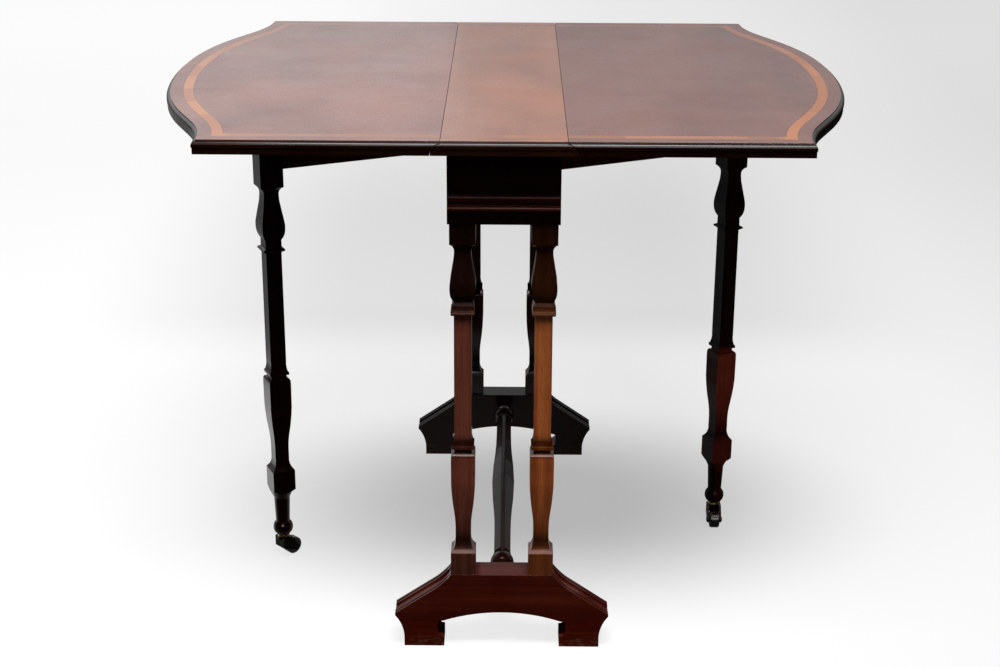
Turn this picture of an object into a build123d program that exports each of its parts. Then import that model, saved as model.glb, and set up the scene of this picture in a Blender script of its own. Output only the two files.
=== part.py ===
from build123d import *
import math
import os

# A small mahogany table with two drop leaves that swing-out gate legs hold up.
# X runs across the table, from leaf to leaf, Y runs along it, and Z is up.
# The origin is on the floor, under the middle of the top.
# The table is drawn with both leaves up and both gates swung out.

# The top as a whole
TABLE_HEIGHT = 700.0
TOP_LENGTH = 750.0
TOP_OPEN_WIDTH = 899.0
TOP_THICKNESS = 17.0
SEAM_SPACING = 149.4

# The serpentine end of a leaf, as shares of half the length of the top
BOW_RADIUS_SHARE = 2.05
SHOULDER_RADIUS_SHARE = 1.36
OGEE_RADIUS_SHARE = 0.6
BOW_HALF_ANGLE = 7.4
SHOULDER_ANGLE = 23.8

# The moulded edge of the top
QUIRK_DEPTH = 1.5
QUIRK_WIDTH = 4.8
BEAD_RADIUS = 4.6
BEAD_HEIGHT = 7.5
LOWER_EDGE_SET_BACK = 0.8

# The satinwood banding
BAND_INSET = 21.7
BAND_WIDTH = 13.0
BAND_THICKNESS = 1.0
BAND_CLEARANCE = 0.1

# The rule joint between the centre board and a leaf
RULE_FILLET = 3.0
RULE_RADIUS = 12.0
RULE_GAP = 0.6

# The hinges under each rule joint
HINGE_COUNT = 2
HINGE_SPACING = 400.0
HINGE_WIDTH = 26.0
HINGE_PLATE_THICKNESS = 2.0
HINGE_FIXED_LENGTH = 32.0
HINGE_LEAF_LENGTH = 44.0
HINGE_BARREL_RADIUS = 2.0
HINGE_PIN_RADIUS = 0.9
HINGE_PIN_PLAY = 0.05
HINGE_KNUCKLES = 3
HINGE_PLAY = 0.3
HINGE_LIFT_PLAY = 0.8
HINGE_SCREWS_PER_PLATE = 2

# Wood screws
SCREW_HEAD_RADIUS = 2.75
SCREW_SHANK_RADIUS = 1.4
SCREW_HEAD_DEPTH = 1.4
SCREW_LENGTH = 10.0
SCREW_CLEARANCE = 0.05
SCREW_SIDES = 8

# The end frames
END_OVERHANG = 51.4
POST_SIZE = 32.3
POST_SPACING = 100.7
FRIEZE_DEPTH = 98.0
FRIEZE_WIDTH = 138.0
FRIEZE_PROUD = 2.4
FRIEZE_INNER_PROUD = 1.6
TENON_SIZE = 16.0
TOP_TENON_LENGTH = 30.0
FOOT_TENON_LENGTH = 32.0
TENON_CLEARANCE = 0.1

# The mouldings on the frieze, up from its lower edge
PLINTH_HEIGHT = 18.0
PLINTH_OVOLO = 5.0
PLINTH_PROUD = 2.6
ASTRAGAL_HEIGHT = 33.0
ASTRAGAL_RADIUS = 2.3

# The feet
FOOT_THICKNESS = 36.0
FOOT_HEIGHT = 106.0
FOOT_HALF_WIDTH = 140.6
EAR_TOP = 48.0
EAR_BOTTOM = 45.2
PAD_OUTER = 128.6
PAD_INNER = 76.0
PAD_OGEE_BOTTOM = 14.0
PAD_NOTCH_DEPTH = 8.5
PAD_NOTCH_BOTTOM = 15.0
PAD_NOTCH_TOP = 36.0
ARCH_SPRING = 38.0
ARCH_CROWN = 50.6
SHOULDER_COVE_X = 19.5
SHOULDER_COVE_DROP = 20.5
SHOULDER_COVE_BULGE_SHARE = 0.64
REED_INSET = 2.0
REED_WIDTHS = (4.0, 3.0, 4.0)

# The stretcher between the feet
STRETCHER_HEIGHT = 86.0
STRETCHER_HALF_WIDTHS = (16.3, 14.9, 12.9, 11.8, 11.3, 11.2)
STRETCHER_STATION_SHARES = (0.0, 0.25, 0.42, 0.55, 0.72, 1.0)
STRETCHER_FLAT_SHARES = (0.04, 0.09, 0.14, 0.18, 0.2, 0.2)
STRETCHER_BODY_HALF_LENGTH = 226.0
STRETCHER_RING_RADIUS = 12.0
STRETCHER_RING_WIDTH = 6.0
STRETCHER_BALL_RADIUS = 15.8
STRETCHER_BALL_CENTRE = 250.0
STRETCHER_NECK_RADIUS = 8.5
STRETCHER_COLLAR_RADIUS = 12.5
STRETCHER_COLLAR_WIDTH = 8.0
STRETCHER_TENON_RADIUS = 7.0
STRETCHER_TENON_LENGTH = 18.0

# The long rails inside the frame, and what holds them to the top
SIDE_RAIL_THICKNESS = 18.0
SIDE_RAIL_DEPTH = 84.0
RAIL_TENON_THICKNESS = 10.0
RAIL_TENON_DEPTH = 60.0
RAIL_TENON_LENGTH = 8.0
GLUE_BLOCK_SIZE = 14.0
GLUE_BLOCK_LENGTH = 45.0
GLUE_BLOCK_SPACING = 180.0
GLUE_BLOCK_COUNT = 3

# The gates: a rail that swings on a wooden knuckle joint and carries a leg
GATE_PIVOT_X = 46.8
GATE_PIVOT_Y = 65.0
LEFT_GATE_SET_FORWARD = 15.0
RIGHT_GATE_SET_FORWARD = 10.0
GATE_REACH = 298.0
GATE_LEG_OFFSET = 5.5
GATE_OPEN_ANGLE = 65.0
HANGER_THICKNESS = 22.0
HANGER_LENGTH = 165.0
GATE_RAIL_THICKNESS = 21.0
GATE_TOP_CLEARANCE = 0.6
GATE_KNUCKLES = 5
GATE_KNUCKLE_PLAY = 0.4
GATE_PIN_RADIUS = 2.5
GATE_PIN_CLEARANCE = 0.05
GATE_TENON_THICKNESS = 10.0
GATE_TENON_LENGTH = 20.0
GATE_TENON_SHOULDER = 8.0
HANGER_SCREW_COUNT = 3
HANGER_SCREW_SPACING = 50.0
HANGER_SCREW_LENGTH = 32.0
HANGER_SCREW_HEAD_RADIUS = 4.0
HANGER_SCREW_SHANK_RADIUS = 2.0
HANGER_SCREW_HEAD_DEPTH = 2.2

# The stop under each leaf that the open gate rests against
STOP_DISTANCE = 200.0
STOP_LENGTH = 34.0
STOP_WIDTH = 14.0
STOP_HEIGHT = 12.0
STOP_GAP = 0.3

# The pattern and the turned ankle of a gate leg
LEG_PATTERN_BOTTOM = 109.5
LEG_PATTERN_TOP = 586.5
ANKLE_TOP = 95.5
ANKLE_TOP_RADIUS = 11.5
ANKLE_BOTTOM_RADIUS = 10.0
POMMEL_RUN = 8.0
BALL_RADIUS = 14.2
BALL_HALF_HEIGHT = 12.0
BALL_CENTRE = 48.5
BALL_FOOT_RADIUS = 9.0

# The castors
CUP_RADIUS = 8.6
CUP_HEIGHT = 4.5
CASTOR_PIN_RADIUS = 2.5
CASTOR_PIN_HEAD_RADIUS = 4.2
CASTOR_PIN_HEAD_HEIGHT = 1.6
CASTOR_RUNNING_GAP = 0.3
CASTOR_PIN_PLAY = 0.06
FORK_PLATE_RADIUS = 9.6
FORK_PLATE_THICKNESS = 3.0
FORK_BRIDGE_REACH = 7.2
FORK_WEB_THICKNESS = 2.4
FORK_WEB_BOTTOM = 16.0
FORK_ARM_THICKNESS = 3.0
FORK_ARM_END_RADIUS = 5.2
CASTOR_TRAIL = 15.0
WHEEL_RADIUS = 12.5
WHEEL_WIDTH = 14.0
WHEEL_CROWN = 1.6
WHEEL_SIDE_PLAY = 0.4
AXLE_RADIUS = 2.0
AXLE_HEAD_RADIUS = 3.4
AXLE_HEAD_HEIGHT = 1.2
AXLE_PLAY = 0.05
LEFT_CASTOR_HEADING = 45.0
RIGHT_CASTOR_HEADING = -90.0

# How far a cutter runs past what it cuts
OVERRUN = 5.0

# The square pattern that posts and gate legs share, in three runs from the bottom
# up. Each row gives the kind of line, then its points as shares of the pattern's
# height and of half the stock. Posts and legs differ in the collar alone.
LOWER_PATTERN_SHARES = (
    ("line", (0.0645, 1.0)),
    ("line", (0.0735, 0.79)),
    ("arc", (0.083, 0.68), (0.103, 0.62)),
    ("line", (0.135, 0.615)),
    ("arc", (0.158, 0.64), (0.19, 0.74)),
    ("arc", (0.225, 0.86), (0.27, 0.95)),
    ("line", (0.34, 0.96)),
    ("line", (0.354, 0.945)),
    ("line", (0.359, 0.87)),
    ("line", (0.3605, 0.69)),
    ("line", (0.3705, 0.66)),
    ("line", (0.372, 0.86)),
    ("line", (0.379, 0.88)),
    ("line", (0.3815, 0.8)),
    ("arc", (0.39, 0.73), (0.412, 0.69)),
    ("line", (0.749, 0.68)),
)
POST_COLLAR_SHARES = (
    ("line", (0.7505, 0.89)),
    ("line", (0.7545, 0.92)),
    ("line", (0.761, 0.93)),
    ("line", (0.7635, 0.88)),
    ("line", (0.7775, 0.84)),
    ("line", (0.7815, 0.76)),
    ("line", (0.785, 0.69)),
    ("line", (0.787, 0.7)),
)
LEG_COLLAR_SHARES = (
    ("line", (0.7505, 0.72)),
    ("line", (0.7555, 0.95)),
    ("line", (0.76, 0.93)),
    ("line", (0.764, 0.71)),
    ("line", (0.787, 0.7)),
)
UPPER_PATTERN_SHARES = (
    ("arc", (0.8005, 0.9), (0.8165, 0.985)),
    ("arc", (0.83, 0.995), (0.845, 0.95)),
    ("line", (0.9, 0.685)),
    ("line", (0.9165, 0.65)),
    ("line", (0.923, 0.65)),
    ("arc", (0.9355, 0.74), (0.944, 1.0)),
    ("line", (1.0, 1.0)),
)

# Places worked out from the sizes above
UNDERSIDE = TABLE_HEIGHT - TOP_THICKNESS
SEAM_X = SEAM_SPACING / 2
RULE_CENTRE_Z = TABLE_HEIGHT - RULE_FILLET - RULE_RADIUS
FRIEZE_BOTTOM = UNDERSIDE - FRIEZE_DEPTH
FRAME_END = TOP_LENGTH / 2 - END_OVERHANG
POST_X = POST_SPACING / 2
POST_Y = FRAME_END - POST_SIZE / 2
FRIEZE_OUTER = FRAME_END + FRIEZE_PROUD
FRIEZE_INNER = FRAME_END - POST_SIZE - FRIEZE_INNER_PROUD
SIDE_RAIL_OUTER = GATE_PIVOT_X - HANGER_THICKNESS / 2
SIDE_RAIL_X = SIDE_RAIL_OUTER - SIDE_RAIL_THICKNESS / 2
GATE_TOP = UNDERSIDE - GATE_TOP_CLEARANCE
BALL_BOTTOM = BALL_CENTRE - BALL_HALF_HEIGHT
CUP_BOTTOM = BALL_BOTTOM - CUP_HEIGHT
FORK_TOP = CUP_BOTTOM - CASTOR_RUNNING_GAP


UPWARD = (Align.CENTER, Align.CENTER, Align.MIN)
DOWNWARD = (Align.CENTER, Align.CENTER, Align.MAX)


def even_places(count, spacing):
    """Places at an even spacing, centred on zero."""
    return [(i - (count - 1) / 2) * spacing for i in range(count)]


def between(low, high):
    """A box from its low corner to its high corner."""
    size = [b - a for a, b in zip(low, high)]
    middle = [(a + b) / 2 for a, b in zip(low, high)]
    return Pos(*middle) * Box(*size)


def polar(centre, radius, degrees):
    """The point at an angle on a circle."""
    turn = math.radians(degrees)
    return (centre[0] + radius * math.cos(turn), centre[1] + radius * math.sin(turn))


def as_group(solids):
    """Separate solids that share one node."""
    return Compound(children=list(solids))


def upright_at(y, outline):
    """An outline drawn in X and Z, stood up across the table at a place along it."""
    return Pos(0, y, 0) * (Plane.XZ * outline)


def half_turn(shape):
    """The same shape on the other side of the table, turned about its middle."""
    return Rot(0, 0, 180) * shape


def leaf_outline(inset):
    """The plan of the right-hand half of the top, drawn in by an even inset."""
    half_length = TOP_LENGTH / 2
    bow_radius = BOW_RADIUS_SHARE * half_length
    shoulder_radius = SHOULDER_RADIUS_SHARE * half_length
    ogee_radius = OGEE_RADIUS_SHARE * half_length
    bow_centre = (TOP_OPEN_WIDTH / 2 - bow_radius, 0)
    shoulder_centre = polar(bow_centre, bow_radius - shoulder_radius, BOW_HALF_ANGLE)
    outer_end = polar(shoulder_centre, shoulder_radius, SHOULDER_ANGLE)
    sine = math.sin(math.radians(SHOULDER_ANGLE))
    cosine = math.cos(math.radians(SHOULDER_ANGLE))
    straight = (half_length - ogee_radius * sine - outer_end[1]) / cosine
    straight_end = (outer_end[0] - straight * sine, outer_end[1] + straight * cosine)
    ogee_centre = polar(straight_end, ogee_radius, SHOULDER_ANGLE)
    ogee = ogee_radius + inset
    corner_angle = 180 + math.degrees(math.asin(inset / ogee))
    middle_angle = (SHOULDER_ANGLE + 180 + corner_angle) / 2

    tip = polar(bow_centre, bow_radius - inset, 0)
    bow_end = polar(bow_centre, bow_radius - inset, BOW_HALF_ANGLE)
    bow_middle = polar(bow_centre, bow_radius - inset, BOW_HALF_ANGLE / 2)
    shoulder_turn = (BOW_HALF_ANGLE + SHOULDER_ANGLE) / 2
    shoulder_middle = polar(shoulder_centre, shoulder_radius - inset, shoulder_turn)
    shoulder_end = polar(shoulder_centre, shoulder_radius - inset, SHOULDER_ANGLE)
    ogee_start = polar(ogee_centre, ogee, SHOULDER_ANGLE + 180)
    ogee_middle = polar(ogee_centre, ogee, middle_angle)
    corner = polar(ogee_centre, ogee, corner_angle)
    upper = [
        ThreePointArc(tip, bow_middle, bow_end),
        ThreePointArc(bow_end, shoulder_middle, shoulder_end),
        Line(shoulder_end, ogee_start),
        ThreePointArc(ogee_start, ogee_middle, corner),
        Line(corner, (0, corner[1])),
    ]
    half = Curve() + upper
    closing = Line((0, corner[1]), (0, -corner[1]))
    return make_face(half + mirror(half, Plane.XZ) + closing)


def joint_cutter(gap):
    """All that a leaf leaves to the centre board, with a running gap."""
    centre = (SEAM_X, RULE_CENTRE_Z)
    radius = RULE_RADIUS + gap
    low = UNDERSIDE - OVERRUN
    high = TABLE_HEIGHT + OVERRUN
    lip = math.degrees(math.acos(gap / radius))
    start = polar(centre, radius, 0)
    end = polar(centre, radius, lip)
    outline = Curve() + [
        Line((-OVERRUN, low), (start[0], low)),
        Line((start[0], low), start),
        ThreePointArc(start, polar(centre, radius, lip / 2), end),
        Line(end, (end[0], high)),
        Line((end[0], high), (-OVERRUN, high)),
        Line((-OVERRUN, high), (-OVERRUN, low)),
    ]
    return extrude(Plane.XZ * make_face(outline), TOP_LENGTH, both=True)


def slab(inset, low, high):
    """A layer of the leaf between two heights."""
    return extrude(Pos(0, 0, low) * leaf_outline(inset), high - low)


def leaf_right():
    """A leaf with its moulded edge, before anything is let into it."""
    bead_top = TABLE_HEIGHT - QUIRK_DEPTH
    bead_bottom = bead_top - BEAD_HEIGHT
    bead = slab(0, bead_bottom, bead_top)
    rims = [e for e in bead.edges().group_by(Axis.Z)[-1] if e.center().X > SEAM_X / 2]
    bead = fillet(rims, BEAD_RADIUS)
    layers = slab(LOWER_EDGE_SET_BACK, UNDERSIDE, bead_bottom) + bead
    layers += slab(QUIRK_WIDTH, bead_top, TABLE_HEIGHT)
    return layers - joint_cutter(RULE_GAP)


def leaf_band(clearance):
    """The banding of the right-hand leaf, or with a clearance the groove for it."""
    low = TABLE_HEIGHT - BAND_THICKNESS
    high = TABLE_HEIGHT + (OVERRUN if clearance else 0)
    outer = slab(BAND_INSET - clearance, low, high)
    inner = slab(BAND_INSET + BAND_WIDTH + clearance, low - OVERRUN, high + OVERRUN)
    return outer - inner - joint_cutter(0 if clearance else RULE_GAP)


def centre_board():
    """The fixed board, with a thumb moulding along both sides for the rule joints."""
    centre = (SEAM_X, RULE_CENTRE_Z)
    thumb_top = polar(centre, RULE_RADIUS, 90)
    thumb_end = polar(centre, RULE_RADIUS, 0)
    half = Curve() + [
        Line((0, TABLE_HEIGHT), (SEAM_X, TABLE_HEIGHT)),
        Line((SEAM_X, TABLE_HEIGHT), thumb_top),
        ThreePointArc(thumb_top, polar(centre, RULE_RADIUS, 45), thumb_end),
        Line(thumb_end, (thumb_end[0], UNDERSIDE)),
        Line((thumb_end[0], UNDERSIDE), (0, UNDERSIDE)),
    ]
    section = make_face(half + mirror(half, Plane.YZ))
    board = extrude(Plane.XZ * section, TOP_LENGTH, both=True)

    end = TOP_LENGTH / 2
    bead_top = TABLE_HEIGHT - QUIRK_DEPTH
    bead_bottom = bead_top - BEAD_HEIGHT
    bead_centre = (end - BEAD_RADIUS, bead_top - BEAD_RADIUS)
    bead_start = polar(bead_centre, BEAD_RADIUS, 0)
    bead_end = polar(bead_centre, BEAD_RADIUS, 90)
    lower_end = end - LOWER_EDGE_SET_BACK
    edge = Curve() + [
        Line((0, UNDERSIDE), (lower_end, UNDERSIDE)),
        Line((lower_end, UNDERSIDE), (lower_end, bead_bottom)),
        Line((lower_end, bead_bottom), (end, bead_bottom)),
        Line((end, bead_bottom), bead_start),
        ThreePointArc(bead_start, polar(bead_centre, BEAD_RADIUS, 45), bead_end),
        Line(bead_end, (end - QUIRK_WIDTH, bead_top)),
        Line((end - QUIRK_WIDTH, bead_top), (end - QUIRK_WIDTH, TABLE_HEIGHT)),
        Line((end - QUIRK_WIDTH, TABLE_HEIGHT), (0, TABLE_HEIGHT)),
    ]
    side = make_face(edge + mirror(edge, Plane.YZ))
    return board & extrude(Plane.YZ * side, TOP_OPEN_WIDTH / 2, both=True)


def centre_band(sign, clearance):
    """One strip of banding across an end of the centre board."""
    outer = TOP_LENGTH / 2 - BAND_INSET + clearance
    inner = TOP_LENGTH / 2 - BAND_INSET - BAND_WIDTH - clearance
    side = SEAM_X + (OVERRUN if clearance else 0)
    high = TABLE_HEIGHT + (OVERRUN if clearance else 0)
    low = TABLE_HEIGHT - BAND_THICKNESS
    near, far = sorted((sign * inner, sign * outer))
    return between((-side, near, low), (side, far, high))


def screw(length, head, shank, head_depth, clearance=0):
    """A countersunk screw along +Z, its head's face at zero, or its hole."""
    face = RegularPolygon(head + clearance, SCREW_SIDES)
    neck = Pos(0, 0, head_depth) * RegularPolygon(shank + clearance, SCREW_SIDES)
    return loft([face, neck], ruled=True) + extrude(neck, length - head_depth + clearance)


def hinge_screw(clearance=0):
    """A screw of a table hinge, driven up from the underside."""
    return screw(SCREW_LENGTH, SCREW_HEAD_RADIUS, SCREW_SHANK_RADIUS, SCREW_HEAD_DEPTH, clearance)


def hinge_axis(y):
    """A place on the pivot of the right-hand leaf, facing along it."""
    return Pos(SEAM_X, y, RULE_CENTRE_Z) * Rot(90, 0, 0)


def hinge_screw_places(on_leaf):
    """Where the screws of one plate go."""
    if on_leaf:
        near = SEAM_X + RULE_RADIUS + RULE_GAP + 2 * SCREW_HEAD_RADIUS
        far = SEAM_X + HINGE_LEAF_LENGTH - 2 * SCREW_HEAD_RADIUS
    else:
        near = SEAM_X - HINGE_FIXED_LENGTH + 2 * SCREW_HEAD_RADIUS
        far = SEAM_X - HINGE_BARREL_RADIUS - 2 * SCREW_HEAD_RADIUS
    side = HINGE_WIDTH / 2 - 2 * SCREW_HEAD_RADIUS
    return [(near, -side), (far, side)][:HINGE_SCREWS_PER_PLATE]


def hinge_plate(on_leaf):
    """One plate of a table hinge, at the middle of the joint. The fixed one owns the end knuckles."""
    side = HINGE_WIDTH / 2
    length = HINGE_LEAF_LENGTH if on_leaf else -HINGE_FIXED_LENGTH
    near, far = sorted((SEAM_X, SEAM_X + length))
    plate = between((near, -side, UNDERSIDE), (far, side, UNDERSIDE + HINGE_PLATE_THICKNESS))
    step = HINGE_WIDTH / HINGE_KNUCKLES
    reach = HINGE_BARREL_RADIUS + HINGE_PLAY
    for i in range(HINGE_KNUCKLES):
        start = i * step - side
        if i % 2 == (1 if on_leaf else 0):
            barrel = Cylinder(HINGE_BARREL_RADIUS, step - HINGE_PLAY)
            plate += hinge_axis(start + step / 2) * barrel
        else:
            low = (SEAM_X - reach, start - HINGE_PLAY / 2, UNDERSIDE - OVERRUN)
            high = (SEAM_X + reach, start + step + HINGE_PLAY / 2, RULE_CENTRE_Z + reach)
            plate -= between(low, high)
    plate -= hinge_axis(0) * Cylinder(HINGE_PIN_RADIUS + HINGE_PIN_PLAY, HINGE_WIDTH + OVERRUN)
    for x, y in hinge_screw_places(on_leaf):
        plate -= Pos(x, y, UNDERSIDE) * hinge_screw(SCREW_CLEARANCE)
    return plate


def hinge_recess(in_leaf):
    """What is let in for one hinge, in the leaf or in the centre board."""
    side = HINGE_WIDTH / 2 + HINGE_PLAY
    low = UNDERSIDE - OVERRUN
    plate_top = UNDERSIDE + HINGE_PLATE_THICKNESS
    if in_leaf:
        cut = between((SEAM_X, -side, low), (SEAM_X + HINGE_LEAF_LENGTH + HINGE_PLAY, side, plate_top))
    else:
        inner = SEAM_X - HINGE_FIXED_LENGTH - HINGE_PLAY
        reach = HINGE_BARREL_RADIUS + HINGE_PLAY
        cut = between((inner, -side, low), (SEAM_X, side, plate_top))
        cut += between((SEAM_X - reach, -side, low), (SEAM_X + reach, side, RULE_CENTRE_Z + reach))
        outer = SEAM_X + RULE_RADIUS + OVERRUN
        cut += between((SEAM_X, -side, low), (outer, side, plate_top + HINGE_LIFT_PLAY))
    for x, y in hinge_screw_places(in_leaf):
        cut += Pos(x, y, UNDERSIDE) * hinge_screw(SCREW_CLEARANCE)
    return cut


def upright_outline(collar, bottom, pattern_bottom, pattern_top, top):
    """Both sides of the square pattern, carried straight down and up to its ends."""
    half = POST_SIZE / 2
    height = pattern_top - pattern_bottom

    def place(share):
        return (share[1] * half, pattern_bottom + share[0] * height)

    at = (half, bottom)
    lines = []
    for kind, *shares in LOWER_PATTERN_SHARES + collar + UPPER_PATTERN_SHARES:
        points = [place(s) for s in shares]
        if kind == "line":
            lines.append(Line(at, points[0]))
        else:
            lines.append(ThreePointArc(at, points[0], points[1]))
        at = points[-1]
    if top > pattern_top:
        lines.append(Line(at, (half, top)))
    side = Curve() + lines
    ends = [Line((-half, bottom), (half, bottom)), Line((-half, top), (half, top))]
    return make_face(side + mirror(side, Plane.YZ) + ends)


def square_upright(collar, bottom, pattern_bottom, pattern_top, top):
    """A square member shaped to the same outline on all four faces."""
    outline = upright_outline(collar, bottom, pattern_bottom, pattern_top, top)
    across = extrude(Plane.XZ * outline, POST_SIZE, both=True)
    return across & (Rot(0, 0, 90) * across)


def tenon_block(size, length, base, clearance):
    """A square tenon that stands up from its base, or its mortise."""
    side = size / 2 + clearance
    return between((-side, -side, base), (side, side, base + length))


def post():
    """An end post with a tenon at each end, at the origin of its own plan."""
    run = (FOOT_HEIGHT, FOOT_HEIGHT, FRIEZE_BOTTOM, FRIEZE_BOTTOM)
    body = square_upright(POST_COLLAR_SHARES, *run)
    body += tenon_block(TENON_SIZE, TOP_TENON_LENGTH, FRIEZE_BOTTOM, 0)
    body += tenon_block(TENON_SIZE, FOOT_TENON_LENGTH, FOOT_HEIGHT - FOOT_TENON_LENGTH, 0)
    return body


def frieze_front():
    """The end board over two posts, with a plinth and an astragal on its face."""
    face = FRIEZE_OUTER - PLINTH_PROUD
    plinth_top = FRIEZE_BOTTOM + PLINTH_HEIGHT
    ovolo_top = plinth_top + PLINTH_OVOLO
    astragal = FRIEZE_BOTTOM + ASTRAGAL_HEIGHT
    astragal_low = (-face, astragal - ASTRAGAL_RADIUS)
    astragal_high = (-face, astragal + ASTRAGAL_RADIUS)
    ovolo_middle = (-face - PLINTH_PROUD * math.sqrt(1 / 2), plinth_top + PLINTH_OVOLO * math.sqrt(1 / 2))
    outline = Curve() + [
        Line((-FRIEZE_INNER, FRIEZE_BOTTOM), (-FRIEZE_OUTER, FRIEZE_BOTTOM)),
        Line((-FRIEZE_OUTER, FRIEZE_BOTTOM), (-FRIEZE_OUTER, plinth_top)),
        ThreePointArc((-FRIEZE_OUTER, plinth_top), ovolo_middle, (-face, ovolo_top)),
        Line((-face, ovolo_top), astragal_low),
        ThreePointArc(astragal_low, (-face - ASTRAGAL_RADIUS, astragal), astragal_high),
        Line(astragal_high, (-face, UNDERSIDE)),
        Line((-face, UNDERSIDE), (-FRIEZE_INNER, UNDERSIDE)),
        Line((-FRIEZE_INNER, UNDERSIDE), (-FRIEZE_INNER, FRIEZE_BOTTOM)),
    ]
    board = extrude(Plane.YZ * make_face(outline), FRIEZE_WIDTH / 2, both=True)
    mortise_length = TOP_TENON_LENGTH + TENON_CLEARANCE
    for side in (-1, 1):
        mortise = tenon_block(TENON_SIZE, mortise_length, FRIEZE_BOTTOM, TENON_CLEARANCE)
        board -= Pos(side * POST_X, -POST_Y, 0) * mortise
        board -= Pos(side * SIDE_RAIL_X, 0, 0) * rail_tenon(TENON_CLEARANCE)
    return board


def rail_tenon(clearance):
    """Both stub tenons of a side rail, as one bar from end to end."""
    end = FRIEZE_INNER + RAIL_TENON_LENGTH + clearance
    side = RAIL_TENON_THICKNESS / 2 + clearance
    high = UNDERSIDE - (SIDE_RAIL_DEPTH - RAIL_TENON_DEPTH) / 2
    low = high - RAIL_TENON_DEPTH
    return between((-side, -end, low - clearance), (side, end, high + clearance))


def hanger_screw(clearance=0):
    """A screw that holds the gate hanger to its side rail."""
    sizes = (HANGER_SCREW_HEAD_RADIUS, HANGER_SCREW_SHANK_RADIUS, HANGER_SCREW_HEAD_DEPTH)
    return Rot(0, 90, 0) * screw(HANGER_SCREW_LENGTH, *sizes, clearance)


def pivot_distance(side):
    """How far from the middle a gate's pivot is, drawn as on the right."""
    return GATE_PIVOT_Y + (RIGHT_GATE_SET_FORWARD if side == "right" else -LEFT_GATE_SET_FORWARD)


def hanger_screw_places(side):
    """Where a hanger is screwed on, drawn as on the right."""
    x = SIDE_RAIL_OUTER - SIDE_RAIL_THICKNESS
    z = (UNDERSIDE + FRIEZE_BOTTOM) / 2
    middle = -pivot_distance(side) - HANGER_LENGTH / 2
    return [(x, middle + y, z) for y in even_places(HANGER_SCREW_COUNT, HANGER_SCREW_SPACING)]


def side_rail(side):
    """A long rail that joins the friezes and carries a gate, drawn as on the right."""
    low = UNDERSIDE - SIDE_RAIL_DEPTH
    inner = SIDE_RAIL_OUTER - SIDE_RAIL_THICKNESS
    rail = between((inner, -FRIEZE_INNER, low), (SIDE_RAIL_OUTER, FRIEZE_INNER, UNDERSIDE))
    rail += Pos(SIDE_RAIL_X, 0, 0) * rail_tenon(0)
    for place in hanger_screw_places(side):
        rail -= Pos(*place) * hanger_screw(SCREW_CLEARANCE)
    return rail


def glue_blocks():
    """Three-cornered blocks that glue the side rails to the centre board."""
    inner = SIDE_RAIL_OUTER - SIDE_RAIL_THICKNESS
    corner = Polyline(
        (inner, UNDERSIDE),
        (inner - GLUE_BLOCK_SIZE, UNDERSIDE),
        (inner, UNDERSIDE - GLUE_BLOCK_SIZE),
        close=True,
    )
    block = extrude(Plane.XZ * make_face(corner), GLUE_BLOCK_LENGTH / 2, both=True)
    row = [Pos(0, y, 0) * block for y in even_places(GLUE_BLOCK_COUNT, GLUE_BLOCK_SPACING)]
    return as_group(row + [half_turn(b) for b in row])


def foot_outline(drop):
    """The front of a foot. A drop lowers its sloping shoulders alone."""
    shoulder = POST_X + POST_SIZE / 2
    cove_x = shoulder + SHOULDER_COVE_X
    cove_z = FOOT_HEIGHT - SHOULDER_COVE_DROP
    slope = math.atan2(cove_z - EAR_TOP, FOOT_HALF_WIDTH - cove_x)
    shift_x = drop * math.sin(slope)
    shift_z = drop * math.cos(slope)
    bulge = SHOULDER_COVE_BULGE_SHARE
    cove_middle = (
        shoulder + (1 - bulge) * SHOULDER_COVE_X - shift_x,
        FOOT_HEIGHT - bulge * SHOULDER_COVE_DROP * 2 / 3 - shift_z,
    )
    ear_x = FOOT_HALF_WIDTH - shift_x
    ogee_middle = (PAD_OUTER + (FOOT_HALF_WIDTH - PAD_OUTER) / 4, (EAR_BOTTOM + PAD_OGEE_BOTTOM) / 2)
    notch_x = PAD_INNER + PAD_NOTCH_DEPTH
    notch_round = (PAD_INNER + PAD_NOTCH_DEPTH * 3 / 4, PAD_NOTCH_BOTTOM + PAD_NOTCH_DEPTH / 4)
    notch_side = (notch_x, PAD_NOTCH_BOTTOM + PAD_NOTCH_DEPTH)
    half = Curve() + [
        Line((0, FOOT_HEIGHT), (shoulder, FOOT_HEIGHT)),
        ThreePointArc((shoulder, FOOT_HEIGHT), cove_middle, (cove_x - shift_x, cove_z - shift_z)),
        Line((cove_x - shift_x, cove_z - shift_z), (ear_x, EAR_TOP - shift_z)),
        Line((ear_x, EAR_TOP - shift_z), (FOOT_HALF_WIDTH, EAR_BOTTOM)),
        ThreePointArc((FOOT_HALF_WIDTH, EAR_BOTTOM), ogee_middle, (PAD_OUTER, PAD_OGEE_BOTTOM)),
        Line((PAD_OUTER, PAD_OGEE_BOTTOM), (PAD_OUTER, 0)),
        Line((PAD_OUTER, 0), (PAD_INNER, 0)),
        Line((PAD_INNER, 0), (PAD_INNER, PAD_NOTCH_BOTTOM)),
        ThreePointArc((PAD_INNER, PAD_NOTCH_BOTTOM), notch_round, notch_side),
        Line(notch_side, (notch_x, PAD_NOTCH_TOP)),
        Line((notch_x, PAD_NOTCH_TOP), (PAD_INNER, ARCH_SPRING)),
    ]
    arch = ThreePointArc((PAD_INNER, ARCH_SPRING), (0, ARCH_CROWN), (-PAD_INNER, ARCH_SPRING))
    return make_face(half + mirror(half, Plane.YZ) + arch)


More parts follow.
